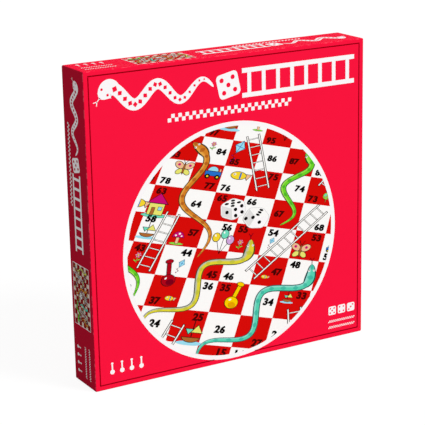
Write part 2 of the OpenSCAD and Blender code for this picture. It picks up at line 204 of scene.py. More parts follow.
# Finishes of the print: ink under gloss film, on paper
filmLook = {
    "ior": 1.015, "roughness": 0.36, "smear": 0.10, "smearScale": 35.0,
    "mottle": 0.10, "mottlePart": 0.6, "mottleScale": 2400.0, "cloudScale": 18.0, "dark": 0.8,
    "fibre": 900.0, "fibreShare": 0.15, "wave": 70.0, "depth": 0.06 * mm,
}


def inking(finish, colour):  # a fine mottle and a faint cloud
    mottle = finish.noise(filmLook["mottleScale"], 3.0)
    cloud = finish.noise(filmLook["cloudScale"])
    share = mottle * filmLook["mottlePart"] + cloud * (1 - filmLook["mottlePart"])
    return finish.shaded(share * filmLook["mottle"], colour, filmLook["dark"])


def glossFilm(finish):
    smear = finish.noise(filmLook["smearScale"], 4.0, 0.6)
    finish.set("Roughness", smear * filmLook["smear"] + (filmLook["roughness"] - filmLook["smear"] / 2))
    fibre = finish.noise(filmLook["fibre"])
    wave = finish.noise(filmLook["wave"], 1.0)
    finish.bump(fibre * filmLook["fibreShare"] + wave, filmLook["depth"])


def ink(name, colour):
    finish = Finish(name, colour, filmLook["roughness"], filmLook["ior"])
    finish.set("Base Color", inking(finish, colour))
    glossFilm(finish)
    return finish.material


skinLook = {  # saddle spots that narrow to the sides, a pale belly and an outline
    "perWidth": 3.0, "pitch": 1.7, "narrowing": 1.6, "spot": 0.05, "saddle": 0.75,
    "belly": -2.0, "bellyFrom": -0.1, "line": 0.74,
    "mottle": 0.25, "mottleScale": 1500.0,
}


# Snake skin follows the print's own map: thirds of a width along the body, and -1 to 1 across it
def skin(name, colour, saddle, belly, line):
    finish = Finish(name, colour, filmLook["roughness"], filmLook["ior"])
    glossFilm(finish)
    along, across, _ = finish.axes(finish.add("UVMap", {"uv_map": "print"}, {}))
    width = abs(across)
    spots = ((along * skinLook["pitch"]).sine() - width * skinLook["narrowing"]) > skinLook["spot"]
    body = finish.mix((across * skinLook["belly"] + skinLook["bellyFrom"]).clipped(), colour, belly)
    body = finish.mix(finish.noise(skinLook["mottleScale"]) * skinLook["mottle"], body, saddle)
    body = finish.mix(spots * skinLook["saddle"], body, saddle)
    finish.set("Base Color", finish.mix(width > skinLook["line"], body, line))
    return finish.material


inkColours = {
    "white": (0.965, 0.935, 0.945), "picture": (0.97, 0.96, 0.94), "dull": (0.78, 0.64, 0.52),
    "rail": (0.97, 0.95, 0.91), "grey": (0.52, 0.53, 0.55), "pale": (0.74, 0.73, 0.72),
    "black": (0.006, 0.005, 0.005), "digit": (0.004, 0.003, 0.003), "onRed": (0.070, 0.002, 0.002),
    # on the next line, the second red is the cover red darkened as painted shade, for the lid's left and
    # right walls
    "cover": (0.95, 0.0075, 0.047), "side": (0.52, 0.0075, 0.031), "maroon": (0.28, 0.0, 0.0015),
    # on the next line, the darker red is the chequer darkened as painted shade, for the squares on the
    # left and right walls
    "chequer": (0.67, 0.0040, 0.0028), "shadedChequer": (0.27, 0.006, 0.006),
    "crimson": (0.42, 0.002, 0.010), "darkRed": (0.20, 0.0, 0.010),
    "gold": (0.95, 0.62, 0.0), "amber": (0.78, 0.36, 0.0), "yellow": (0.90, 0.66, 0.03),
    "lemon": (0.80, 0.78, 0.16), "lime": (0.28, 0.70, 0.06), "mint": (0.16, 0.72, 0.50),
    "sky": (0.32, 0.72, 0.86), "blue": (0.02, 0.16, 0.58), "mauve": (0.62, 0.38, 0.70),
    "pink": (0.86, 0.26, 0.42), "magenta": (0.58, 0.004, 0.17), "brown": (0.42, 0.14, 0.03),
    "peach": (0.86, 0.50, 0.28),
}
snakeColours = {  # body, saddle, belly and outline
    "orangeSnake": ((0.68, 0.23, 0.02), (0.40, 0.09, 0.01), (0.86, 0.44, 0.08), (0.05, 0.03, 0.01)),
    "greenSnake": ((0.16, 0.68, 0.02), (0.05, 0.40, 0.02), (0.40, 0.80, 0.10), (0.01, 0.05, 0.01)),
    "yellowSnake": ((0.76, 0.66, 0.03), (0.50, 0.52, 0.05), (0.46, 0.50, 0.50), (0.06, 0.06, 0.02)),
    "tealSnake": ((0.10, 0.66, 0.44), (0.04, 0.44, 0.34), (0.30, 0.76, 0.66), (0.01, 0.06, 0.06)),
}
inks = {name: ink(name + "Ink", colour) for name, colour in inkColours.items()}
inks.update({name: skin(name, *colours) for name, colours in snakeColours.items()})


def roundOff(bm, parts, offset, segments, affect="VERTICES"):
    return bmesh.ops.bevel(bm, geom=parts, offset=offset, segments=segments, profile=0.5, affect=affect,
                           material=-1)["verts"]


def cut(bm, point, out):
    bmesh.ops.bisect_plane(bm, geom=bm.verts[:] + bm.edges[:] + bm.faces[:], plane_co=point,
                           plane_no=out, clear_outer=True)


def acrossOf(run):
    return Vector((-run.y, run.x)).normalized()


def headingOf(run):
    return Vector((1, 0)).angle_signed(run) * -1


# Flat print: drawn in its own units, slanted onto the picture, clipped, and laid on a surface
class Canvas:
    def __init__(self):
        self.bm = bmesh.new()
        self.map = self.bm.loops.layers.uv.new("print")
        self.inks = []
        self.pen = (0.0, 0.0, 1.0)  # origin and scale of what is drawn next
        self.heavy = 1.0  # how much thicker its outlines are

    def ink(self, name):
        if name not in self.inks:
            self.inks.append(name)
        return self.inks.index(name)

    def put(self, verts, centre, size, layer, turn=0.0):
        x, y, zoom = self.pen
        place = Matrix.Translation((x + centre[0] * zoom, y + centre[1] * zoom, layer)) \
            @ Matrix.Rotation(turn, 4, "Z") \
            @ Matrix.Diagonal((size[0] * zoom, size[1] * zoom, 1.0, 1.0))
        bmesh.ops.transform(self.bm, matrix=place, verts=verts)

    def colour(self, verts, name, edge=0.0, edgeInk="black"):
        faces = list({face for vert in verts for face in vert.link_faces})
        if edge:
            wide = edge * self.pen[2] * self.heavy
            rim = bmesh.ops.inset_region(self.bm, faces=faces, thickness=wide, use_even_offset=True,
                                         use_boundary=True)["faces"]
            for face in rim:
                face.material_index = self.ink(edgeInk)
        for face in faces:
            face.material_index = self.ink(name)

    def disc(self, name, centre, size, layer, turn=0.0, corners=24, edge=0.0, half=False):
        wide, high = size if isinstance(size, tuple) else (size, size)
        made = bmesh.ops.create_circle(self.bm, cap_ends=True, radius=1.0, segments=corners)["verts"]
        if half:
            low = [vert for vert in made if vert.co.y < -1e-4]
            made = [vert for vert in made if vert not in low]
            bmesh.ops.dissolve_verts(self.bm, verts=low)
        self.put(made, centre, (wide, high), layer, turn)
        self.colour(made, name, edge)

    def square(self):
        return bmesh.ops.create_grid(self.bm, x_segments=1, y_segments=1, size=0.5)["verts"]

    def box(self, name, centre, size, layer, turn=0.0, edge=0.0, edgeInk="black"):
        made = self.square()
        self.put(made, centre, size, layer, turn)
        self.colour(made, name, edge, edgeInk)

    def slantedBox(self, name, centre, across, along, layer):
        made = self.square()
        for vert in made:
            vert.co = (*(across * vert.co.x + along * vert.co.y), 0.0)
        self.put(made, centre, (1.0, 1.0), layer)
        self.colour(made, name)

    def roundedBox(self, name, centre, size, turn, layer):
        made = roundOff(self.bm, self.square(), 0.18, 5)
        self.put(made, centre, (size, size), layer, turn)
        self.colour(made, name)

    def bar(self, name, start, end, width, layer, edge=0.0):
        start, end = Vector(start), Vector(end)
        run = end - start
        self.box(name, (start + end) / 2, (run.length, width), layer, headingOf(run), edge)

    def snake(self, name, snake, width, layer, face=True, steps=150):
        made = bmesh.ops.create_grid(self.bm, x_segments=steps, y_segments=4, size=1.0)["verts"]
        length = (snake["tail"] - snake["head"]).length
        for vert in made:
            share, across = (vert.co.x + 1) / 2, vert.co.y
            aside = snakeAcross(snake, share) * across * halfWidth(share, width)
            point = snakeMiddle(snake, share) + aside
            vert.co = (self.pen[0] + point.x * self.pen[2], self.pen[1] + point.y * self.pen[2], layer)
            for loop in vert.link_loops:
                loop[self.map].uv = (share * length / width * skinLook["perWidth"], across)
        self.colour(made, name)
        if not face:
            return
        side, brow, front = headOf(snake, headLook)
        for hand in (-1, 1):
            eye = brow + side * hand * headLook["apart"] * width
            self.disc("picture", eye, width * headLook["eye"], layer + 1, corners=12)
            self.disc("black", eye + front * headLook["gaze"] * width, width * headLook["pupil"],
                      layer + 2, corners=10)
        self.tongue("darkRed", snake, width, headLook, layer, layer + 1)

    def tongue(self, name, snake, width, look, layer, forkLayer):
        side, _, front = headOf(snake, look)
        nose = snakeMiddle(snake, 0.0)
        for hand in (-1, 1):
            tip = nose + (front * look["tip"] + side * hand * look["spread"]) * width
            self.bar(name, nose + front * width * look["fork"], tip, width * look["thin"], forkLayer)
        root, end = nose - front * width * look["root"], nose + front * width * look["stem"]
        self.bar(name, root, end, width * look["thick"], layer)

    def digits(self, number, centre, high, layer, name="digit"):
        word = str(number)
        for index, digit in enumerate(word):
            for hand in (-1, 1):  # twice, a little apart, for a bolder stroke
                start = len(self.bm.verts)
                self.bm.from_mesh(digitMesh[digit])
                self.bm.verts.ensure_lookup_table()
                made = self.bm.verts[start:]
                step = (index - (len(word) - 1) / 2) * digitLook["step"] + hand * digitLook["smear"]
                place = Matrix.Translation((*centre, layer + hand * digitLook["lift"])) \
                    @ Matrix.Diagonal((high, high, 1.0, 1.0)) @ Matrix.Translation((step, 0.0, 0.0))
                bmesh.ops.transform(self.bm, matrix=place, verts=made)
                self.colour(made, name)

    def lay(self, name, body, surface, slant=None, clip=None, slotName=None, replaced=()):
        if slant:
            for vert in self.bm.verts:
                vert.co = (*slant(vert.co.x, vert.co.y), vert.co.z)
            clip(self.bm)
        for vert in self.bm.verts:
            vert.co = surface(*vert.co)
        self.bm.normal_update()
        return makePiece(name, self.bm, [inks[ink] for ink in self.inks], body, replaced)


def makeMesh(name, bm, materials):
    mesh = bpy.data.meshes.new(name)
    bm.to_mesh(mesh)
    bm.free()
    for material in materials:
        mesh.materials.append(material)
    return addObject(name, mesh)


def makePiece(name, bm, materials, body, replaced=()):
    piece = makeMesh(name, bm, materials)
    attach(piece, body)
    if replaced:
        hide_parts(*replaced)
    return piece


# Digits, as flat meshes one unit high
digitLook = {
    "bold": 0.045, "slant": 0.04, "narrow": 0.95, "step": 0.68, "high": 0.24, "smear": 0.03, "lift": 0.1,
}


def makeDigit(digit):
    curve = bpy.data.curves.new("digit" + digit, "FONT")
    curve.body, curve.size, curve.offset, curve.resolution_u = digit, 1.0, digitLook["bold"], 3
    curve.shear = digitLook["slant"]
    holder = addObject("digit" + digit, curve)
    bpy.context.view_layer.update()
    mesh = bpy.data.meshes.new_from_object(holder.evaluated_get(bpy.context.evaluated_depsgraph_get()))
    bpy.data.objects.remove(holder)
    bpy.data.curves.remove(curve)
    xs, ys = [v.co.x for v in mesh.vertices], [v.co.y for v in mesh.vertices]
    tall = max(ys) - min(ys)
    mesh.transform(Matrix.Diagonal((digitLook["narrow"] / tall, 1 / tall, 0.0, 1.0))
                   @ Matrix.Translation((-(max(xs) + min(xs)) / 2, -(max(ys) + min(ys)) / 2, 0.0)))
    return mesh


digitMesh = {digit: makeDigit(digit) for digit in "0123456789"}
print("digits made")

# The box, in millimetres, read from the frame
lidLow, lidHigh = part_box("lid_wrap")
boxSide = (lidHigh.x - lidLow.x) / mm
coverY = lidLow.y / mm
lidDepth = (lidHigh.y - lidLow.y) / mm
layerStep = 0.05

cover = {
    "discMargin": 29.35, "discFoot": 2.6, "ring": 4.0, "underRing": 0.05, "facets": 160, "clipSides": 96,
    "lineInset": 4.6, "lineTop": 3.9, "line": 0.95,
}
discRadius = boxSide / 2 - cover["discMargin"]
discY = cover["discFoot"] + discRadius - boxSide / 2  # from the cover's middle
pictureRadius = discRadius - cover["ring"]

# The slanted picture's corners, in radii of the disc
pictureCorners = [Vector(c) for c in ((-2.11, -0.89), (1.10, -1.87), (1.72, 0.63), (-0.92, 1.29))]

# The game: a grid of ten by ten squares, in cells from its lower left corner
cells = 10
ladders = [
    ((3.7, 0.6), (4.2, 2.6)), ((8.2, 1.4), (7.6, 3.4)), ((2.6, 4.1), (2.9, 6.1)),
    ((5.9, 4.3), (7.7, 6.9)), ((5.5, 7.3), (4.6, 9.3)), ((0.5, 6.6), (1.6, 8.5)),
    ((7.5, 7.6), (8.5, 9.4)),
]
ladderLook = {"width": 0.40, "rail": 0.075, "rung": 0.044, "step": 0.28, "edge": 0.019}
snakes = [
    {"head": Vector(head), "tail": Vector(tail), "waves": waves, "swing": swing, "skin": name}
    for head, tail, waves, swing, name in (
        ((2.7, 8.7), (4.1, 4.7), 1.5, 0.42, "orangeSnake"),
        ((6.6, 8.9), (6.4, 6.1), 1.5, 0.34, "greenSnake"),
        ((5.6, 5.5), (3.2, 2.1), 2.0, 0.38, "yellowSnake"),
        ((7.8, 4.9), (5.1, 1.3), 2.0, 0.40, "tealSnake"),
        ((1.0, 6.0), (2.6, 3.2), 1.5, 0.25, "greenSnake"),
        ((8.6, 7.4), (9.0, 3.5), 2.0, 0.30, "orangeSnake"))
]
snakeLook = {
    "width": 0.22, "tail": 0.20, "nose": 0.5, "head": 0.85, "headShare": 0.14,
    "noseRound": 0.02, "tailRound": 0.03,
}
headLook = {  # places along the snake, and shares of its width
    "neck": 0.04, "brow": 0.035, "apart": 0.36, "eye": 0.17, "pupil": 0.08, "gaze": 0.05,
    "root": 0.1, "stem": 0.5, "thick": 0.09, "fork": 0.45, "tip": 0.95, "spread": 0.3, "thin": 0.08,
}
halfStep = 0.0125
dice = [((4.7, 6.5), 20.0, (5, 4, 1)), ((5.55, 6.3), -14.0, (3, 1, 2))]
pawns = [((3.5, 3.7), 14.0, "crimson", "darkRed"), ((5.55, 3.2), -12.0, "gold", "amber")]
clearance = {
    "head": 0.20, "headPoints": 8, "body": 0.11, "tongue": 0.08, "tongueLong": 0.2,
    "ladder": 0.22, "die": 0.44, "pawn": 0.20,
}
toyLook = {"least": 0.6, "most": 1.5, "reach": 0.22, "every": 6}
numberLook = {
    "half": 0.13, "reach": 0.15, "near": 1.4, "columns": (0.27, 0.73, 0.5), "rows": (0.81, 0.5, 0.19),
    "turnedRow": 6,  # above it the low place comes first
}


def snakeMiddle(snake, share):
    run = snake["tail"] - snake["head"]
    wave = sin(2 * pi * snake["waves"] * share)
    return snake["head"] + run * share + acrossOf(run) * snake["swing"] * wave


def snakeAcross(snake, share):
    return acrossOf(snakeMiddle(snake, share + halfStep) - snakeMiddle(snake, share - halfStep))


def headOf(snake, look):  # across the head, its brow, and the way it looks
    front = (snakeMiddle(snake, 0.0) - snakeMiddle(snake, look["neck"])).normalized()
    return acrossOf(front), snakeMiddle(snake, look["brow"]), front


def halfWidth(share, width):
    if share < snakeLook["headShare"]:
        place = share / snakeLook["headShare"]
        swell = snakeLook["nose"] + (1 - snakeLook["nose"]) * place
        swell += snakeLook["head"] * sin(pi * place)
    else:
        swell = 1 - (1 - snakeLook["tail"]) * share ** 3
    ends = min(1.0, share / snakeLook["noseRound"], (1 - share) / snakeLook["tailRound"])
    return width / 2 * swell * sqrt(max(0.0, 1 - (1 - ends) ** 2))


def onPicture(column, row):  # a point in cells, on the slanted picture
    first, second, third, fourth = pictureCorners
    d1, d2, total = second - third, fourth - third, first - second + third - fourth
    size = d1.x * d2.y - d1.y * d2.x
    g = (total.x * d2.y - total.y * d2.x) / size
    h = (d1.x * total.y - d1.y * total.x) / size
    s, t = column / cells, row / cells
    point = (second - first + g * second) * s + (fourth - first + h * fourth) * t + first
    return point / (g * s + h * t + 1) * discRadius + Vector((0, discY))


def onCover(x, y, layer):
    return Vector((x, coverY - (layer + 1) * layerStep, y + boxSide / 2)) * mm


def clipToPicture(bm):
    for index in range(cover["clipSides"]):
        turn = 2 * pi * index / cover["clipSides"]
        out = Vector((cos(turn), sin(turn), 0.0))
        cut(bm, out * pictureRadius + Vector((0, discY, 0)), out)


def cellNumber(column, row):
    return row * cells + (column + 1 if row % 2 == 0 else cells - column)


# What toys and numbers keep clear of: points in cells, each with its reach
def obstacles():
    points = []
    for snake in snakes:
        for i in range(51):
            part = "head" if i < clearance["headPoints"] else "body"
            points.append((snakeMiddle(snake, i / 50), clearance[part]))
        _, _, front = headOf(snake, headLook)
        points.append((snake["head"] + front * clearance["tongueLong"], clearance["tongue"]))
    for foot, top in ladders:
        points += [(Vector(foot).lerp(Vector(top), i / 20), clearance["ladder"]) for i in range(21)]
    points += [(Vector(place), clearance["die"]) for place, *_ in dice]
    for place, turn, *_ in pawns:
        lean = Vector((-sin(radians(turn)), cos(radians(turn))))
        points += [(Vector(place) + lean * up, clearance["pawn"]) for up in (0.0, 0.2, 0.4, 0.6, 0.8)]
    return points


def roomAt(points, blocked):
    return min((point - other).length - reach for other, reach in blocked for point in points)


def numberPoints(point):
    return [point + Vector((x, 0.0)) for x in (-numberLook["half"], 0.0, numberLook["half"])]


# Each square has its number in the first place with room, and all but every sixth a toy in what is left
def fillSquares():
    blocked = obstacles()
    numbers, placed = {}, []
    for index in range(cells * cells):
        row, column = divmod(index, cells)
        corner = Vector((column, row))
        middle = corner + Vector((0.5, 0.5))
        near = [(other, reach) for other, reach in blocked
                if (other - middle).length < numberLook["near"]]
        bare = (column * 2 + row) % toyLook["every"] == 0
        heights = numberLook["rows"][::-1 if row > numberLook["turnedRow"] else 1]
        spots = [corner + Vector((x, y)) for y in heights for x in numberLook["columns"]]
        if bare:
            spots.insert(0, middle)
        rooms = [roomAt(numberPoints(spot), near) if near else 1.0 for spot in spots]
        free = [spot for spot, room in zip(spots, rooms) if room > numberLook["reach"]]
        numbers[column, row] = free[0] if free else spots[rooms.index(max(rooms))]
        if bare:
            continue
        near += [(point, numberLook["reach"]) for point in numberPoints(numbers[column, row])]
        spots = [corner + Vector((x, y)) / 10 for x in (3, 4, 5, 6, 7) for y in (3, 4, 5, 6, 7)]
        best = max(spots, key=lambda spot: roomAt([spot], near))
        size = min(toyLook["most"], roomAt([best], near) / toyLook["reach"])
        if size > toyLook["least"]:
            placed.append((best, size, toys[(column * 2 + row * 5) % len(toys)]))
    return numbers, placed


# Toys in the squares, each about half a cell high, drawn about its own middle on layers 2 to 6
def balloons(canvas):
    for dx, dy, name in ((-0.15, 0.10, "yellow"), (0.03, 0.20, "mint"), (0.19, 0.07, "mauve")):
        canvas.bar("black", (0.02, -0.30), (dx, dy), 0.012, 2)
        canvas.disc(name, (dx, dy), (0.095, 0.12), 3, edge=0.014)
        canvas.disc("picture", (dx - 0.03, dy + 0.04), (0.018, 0.032), 4, 0.4, 10)


def flower(canvas):
    canvas.bar("lime", (0.0, -0.30), (0.0, 0.06), 0.035, 2, 0.008)
    canvas.disc("lime", (-0.09, -0.19), (0.09, 0.035), 2, -0.5, 12, 0.010)
    canvas.disc("lime", (0.09, -0.14), (0.09, 0.035), 2, 0.5, 12, 0.010)
    for index in range(6):
        turn = index * pi / 3
        petal = (0.085 * cos(turn), 0.10 + 0.085 * sin(turn))
        canvas.disc("pink", petal, (0.075, 0.045), 3, turn, 14, 0.010)
    canvas.disc("yellow", (0.0, 0.10), 0.05, 4, 0.0, 16, 0.010)


def kite(canvas):
    canvas.disc("sky", (0.0, 0.06), (0.14, 0.20), 3, -0.3, 4, 0.012)
    canvas.bar("blue", (-0.055, -0.125), (0.055, 0.245), 0.014, 4)
    canvas.bar("blue", (-0.13, 0.10), (0.13, 0.02), 0.014, 4)
    last = Vector((-0.055, -0.13))
    for index in range(3):
        step = last + Vector((0.07 if index % 2 else -0.07, -0.075))
        canvas.bar("black", last, step, 0.012, 2)
        canvas.disc("magenta", step, (0.035, 0.022), 3, index * 1.1, 4, 0.006)
        last = step


def butterfly(canvas):
    for hand in (-1, 1):
        canvas.disc("peach", (hand * 0.11, 0.08), (0.12, 0.085), 2, hand * 0.6, 18, 0.012)
        canvas.disc("lemon", (hand * 0.08, -0.08), (0.09, 0.065), 2, hand * -0.7, 18, 0.012)
        canvas.disc("magenta", (hand * 0.12, 0.09), 0.032, 3, corners=12)
        canvas.bar("black", (0.0, 0.12), (hand * 0.06, 0.24), 0.012, 3)
    canvas.disc("brown", (0.0, 0.0), (0.025, 0.15), 4, 0.0, 14, 0.008)


def boat(canvas):
    canvas.disc("sky", (0.0, -0.20), (0.27, 0.045), 2, corners=20)
    canvas.disc("brown", (0.0, -0.06), (0.20, 0.13), 3, pi, 22, 0.012, half=True)
    canvas.bar("black", (0.0, -0.07), (0.0, 0.28), 0.018, 3)
    canvas.disc("lemon", (0.085, 0.07), (0.15, 0.12), 4, 0.0, 3, 0.012)
    canvas.disc("mint", (-0.07, 0.05), (0.11, 0.09), 4, pi, 3, 0.012)


def mushroom(canvas):
    canvas.disc("lime", (0.0, -0.24), (0.24, 0.05), 2, 0.0, 18, 0.008)
    canvas.box("peach", (0.0, -0.12), (0.11, 0.24), 3, edge=0.012)
    canvas.disc("magenta", (0.0, -0.02), (0.20, 0.22), 3, 0.0, 24, 0.012, half=True)
    for dx, dy, size in ((-0.09, 0.05, 0.030), (0.02, 0.12, 0.036), (0.10, 0.04, 0.026)):
        canvas.disc("picture", (dx, dy), size, 4, corners=12)


def fish(canvas):
    canvas.disc("peach", (0.17, 0.0), 0.11, 2, pi, 3, 0.012)
    canvas.disc("yellow", (-0.03, 0.0), (0.18, 0.105), 3, 0.0, 24, 0.012)
    canvas.bar("blue", (0.01, -0.08), (0.01, 0.08), 0.035, 4)
    canvas.disc("picture", (-0.12, 0.025), 0.030, 4, corners=12)
    canvas.disc("black", (-0.127, 0.025), 0.014, 5, corners=10)


def house(canvas):
    canvas.disc("mint", (0.0, -0.25), (0.28, 0.05), 2, 0.0, 18, 0.008)
    canvas.box("lemon", (0.0, -0.10), (0.34, 0.28), 3, edge=0.012)
    canvas.disc("magenta", (0.0, 0.12), (0.27, 0.17), 4, 0.0, 3, 0.012)
    canvas.box("brown", (-0.06, -0.15), (0.08, 0.18), 4, edge=0.008)
    canvas.box("sky", (0.08, -0.08), (0.09, 0.09), 4, edge=0.008)


def tree(canvas):
    canvas.box("brown", (0.0, -0.17), (0.07, 0.22), 3, edge=0.010)
    canvas.disc("lime", (0.0, 0.08), (0.19, 0.20), 4, 0.0, 22, 0.012)
    canvas.disc("mint", (-0.06, 0.13), (0.07, 0.08), 5, corners=14)
    for dx, dy in ((-0.09, 0.02), (0.08, -0.02), (0.06, 0.16), (0.0, 0.08)):
        canvas.disc("magenta", (dx, dy), 0.03, 6, corners=10)


def ball(canvas):
    canvas.disc("mint", (0.0, -0.21), (0.24, 0.04), 2, corners=18)
    canvas.disc("yellow", (0.0, 0.0), 0.21, 3, 0.0, 28, 0.012)
    canvas.disc("blue", (0.0, 0.0), (0.07, 0.205), 4, 0.5)
    canvas.disc("magenta", (0.0, 0.0), (0.20, 0.055), 5, 0.3)
    canvas.disc("picture", (-0.09, 0.10), (0.03, 0.045), 5, -0.7, 12)


def wagon(canvas):
    canvas.box("blue", (0.0, -0.04), (0.44, 0.15), 3, edge=0.012)
    canvas.disc("sky", (-0.02, 0.03), 0.15, 3, 0.0, 24, 0.012, half=True)
    canvas.box("peach", (0.17, 0.07), (0.05, 0.10), 3, edge=0.008)
    for dx in (-0.13, 0.13):
        canvas.disc("black", (dx, -0.13), 0.07, 4, corners=18)
        canvas.disc("yellow", (dx, -0.13), 0.03, 5, corners=12)


toys = (balloons, house, flower, ball, kite, tree, butterfly, boat, wagon, mushroom, fish)
pipsOn = {
    1: [(0, 0)], 2: [(-1, -1), (1, 1)], 3: [(-1, -1), (0, 0), (1, 1)],
    4: [(-1, -1), (-1, 1), (1, -1), (1, 1)], 5: [(-1, -1), (-1, 1), (1, -1), (1, 1), (0, 0)],
}
dieLook = {  # in cells, then as shares of that height
    "high": 0.80, "right": (0.52, 0.22), "left": (-0.46, 0.26), "down": (-0.02, -0.56),
    "round": 0.12, "edge": 0.012, "face": 0.86, "middle": 0.48, "step": 0.25,
    "topPip": (0.085, 0.05), "sidePip": (0.07, 0.082),
}


def drawnDie(canvas, place, high, turn, faces, layer):  # three faces of a rounded cube, from a corner
    swing = Matrix.Rotation(radians(turn), 2)
    right, left, down = (swing @ Vector(dieLook[key]) * high for key in ("right", "left", "down"))
    made = bmesh.ops.create_circle(canvas.bm, cap_ends=True, radius=1.0, segments=6)["verts"]
    for vert, spot in zip(made, (right, right + left, left, left + down, down, down + right)):
        vert.co = (*spot, 0.0)
    made = roundOff(canvas.bm, made, high * dieLook["round"], 4)
    canvas.put(made, place, (1.0, 1.0), layer)
    canvas.colour(made, "picture", dieLook["edge"], "grey")
    shown = (("picture", right, left, "topPip"), ("white", down, right, "sidePip"),
             ("pale", left, down, "sidePip"))
    for (name, first, second, pip), count in zip(shown, faces):
        centre = Vector(place) + (first + second) * dieLook["middle"]
        canvas.slantedBox(name, centre, first * dieLook["face"], second * dieLook["face"], layer + 0.3)
        for across, along in pipsOn[count]:
            spot = centre + (first * across + second * along) * dieLook["step"]
            wide, tall = dieLook[pip]
            canvas.disc("black", spot, (high * wide, high * tall), layer + 1, radians(turn), 14)


pawnLook = {  # in cells, then as shares of that height: each part's middle and size
    "high": 0.92, "edge": 0.016, "stem": ((0.0, 0.55), (0.15, 0.55)),
    "dome": ((0.0, 0.18), (0.235, 0.215)), "cap": ((0.0, 0.86), (0.135, 0.085)),
    "shade": ((0.05, 0.11), (0.13, 0.10)), "shine": ((-0.09, 0.26), (0.045, 0.03)), "shineTurn": 0.7,
}


def drawnPawn(canvas, place, turn, fill, shade, layer):
    high, edge, lean = pawnLook["high"], pawnLook["edge"], radians(turn)
    swing = Matrix.Rotation(lean, 2)

    def placed(part):
        middle, (wide, tall) = pawnLook[part]
        return Vector(place) + swing @ Vector(middle) * high, (high * wide, high * tall)
    canvas.box(fill, *placed("stem"), layer, lean, edge)
    canvas.disc(fill, *placed("dome"), layer + 1, lean, 30, edge)
    canvas.disc(fill, *placed("cap"), layer + 1, lean, 24, edge)
    canvas.disc(shade, *placed("shade"), layer + 2, lean)
    canvas.disc("picture", *placed("shine"), layer + 2, lean + pawnLook["shineTurn"], 14)


def drawLadder(canvas, foot, top, look, layer):
    foot, top = Vector(foot), Vector(top)
    half = acrossOf(top - foot) * look["width"] / 2
    count = int((top - foot).length / look["step"])
    for index in range(count):
        middle = foot.lerp(top, (index + 0.5) / count)
        canvas.bar("rail", middle - half, middle + half, look["rung"], layer, look["edge"] * 0.6)
    for hand in (-1, 1):
        canvas.bar("rail", foot + half * hand, top + half * hand, look["rail"], layer + 1, look["edge"])


# One game picture for the cover and for the two leaves of the board
def gameCanvases(columns):
    chequer, numbers, rails, bodies, playthings = (Canvas() for _ in range(5))
    spots, placed = fillSquares()
    for column in columns:
        for row in range(cells):
            red = (column + row) % 2 == 0
            if red:
                chequer.box("chequer", (column + 0.5, row + 0.5), (1.0, 1.0), 1)
            numbers.digits(cellNumber(column, row), spots[column, row], digitLook["high"], 2,
                           "onRed" if red else "digit")
    for point, size, draw in placed:
        if int(point.x) in columns:
            playthings.pen = (point.x, point.y, size)
            draw(playthings)
    playthings.pen = (0.0, 0.0, 1.0)
    for foot, top in ladders:
        drawLadder(rails, foot, top, ladderLook, 2)
    for snake in snakes:
        bodies.snake(snake["skin"], snake, snakeLook["width"], 4)
    return chequer, numbers, rails, bodies, playthings


def printCover():
    ring, ground = Canvas(), Canvas()  # white ring, and the picture's own white in it
    ring.disc("white", (0, discY), discRadius, 0, corners=cover["facets"])
    ring.lay("cover_disc", "lid", onCover, slotName="white_ink", replaced=["cover_print_white"])
    ground.disc("picture", (0, discY), pictureRadius + cover["underRing"], 0.4, corners=cover["facets"])
    ground.lay("cover_picture_ground", "lid", onCover, slotName="white_ink")
    chequer, numbers, rails, bodies, playthings = gameCanvases(range(cells))
    for place, turn, faces in dice:
        drawnDie(playthings, place, dieLook["high"], turn, faces, 5)
    for place, turn, fill, shade in pawns:
        drawnPawn(playthings, place, turn, fill, shade, 5)
    for name, canvas, slotName, replaced in (
            ("chequer", chequer, "red_ink", ["red"]), ("numbers", numbers, None, []),
            ("ladders", rails, "white_ink", ["ladders"]),
            ("snakes", bodies, "green_ink", ["orange", "green", "yellow", "teal"]),
            ("toys", playthings, "white_ink", ["dice", "pawn_red", "pawn_yellow"])):
        canvas.lay("cover_" + name, "lid", onCover, onPicture, clipToPicture, slotName,
                   ["cover_print_" + ending for ending in replaced])


printCover()
print("cover picture printed")

# Title ornament: a snake, a die and a ladder, as shares of its height, about its middle
title = {
    "margin": 9.8, "top": 12.8, "long": 10.0,
    "snake": {"head": (0.16, 0.10), "tail": (4.36, 0.0), "waves": 2.5, "swing": 0.30}, "body": 0.40,
    "diamonds": 23, "diamond": (0.45, 0.5), "die": 0.84, "dieAt": 4.92, "dieTurn": 12.0,
    "ladderFrom": 5.45, "ladderTo": 10.0, "rail": 0.16, "rung": 0.15, "rungs": 8,
    "strip": 0.48, "stripDrop": 0.48, "squares": 36,
}
titleHead = {
    "neck": 0.03, "brow": 0.045, "apart": 0.36, "eye": 0.11,
    "root": 0.1, "stem": 0.36, "thick": 0.08, "fork": 0.32, "tip": 0.6, "spread": 0.2, "thin": 0.07,
}
titleDie = {"pip": 0.095, "step": 0.26, "corners": 20}
markDie = {"pip": 0.10, "step": 0.26, "corners": 16}


def flatDie(canvas, centre, size, count, paper, look, turn=0.0):
    canvas.roundedBox("white", centre, size, turn, 0)
    swing = Matrix.Rotation(turn, 2)
    for across, up in pipsOn[count]:
        spot = Vector(centre) + swing @ Vector((across, up)) * size * look["step"]
        canvas.disc(paper, spot, size * look["pip"], 1, corners=look["corners"])


def flatPawn(canvas, x, y, high):
    canvas.disc("white", (x, y + high * 0.20), high * 0.20, 0)
    canvas.box("white", (x, y + high * 0.5), (high * 0.13, high * 0.8), 0.2)
    canvas.disc("white", (x, y + high * 0.92), (high * 0.11, high * 0.08), 0, corners=18)


def chequerStrip(canvas, x, y, wide, squares):  # two rows of squares, centred on x, above y
    cell = wide / squares
    for index in range(squares):
        canvas.box("white", (x + (index + 0.5 - squares / 2) * cell, y + (index % 2 + 0.5) * cell),
                   (cell, cell), 0)


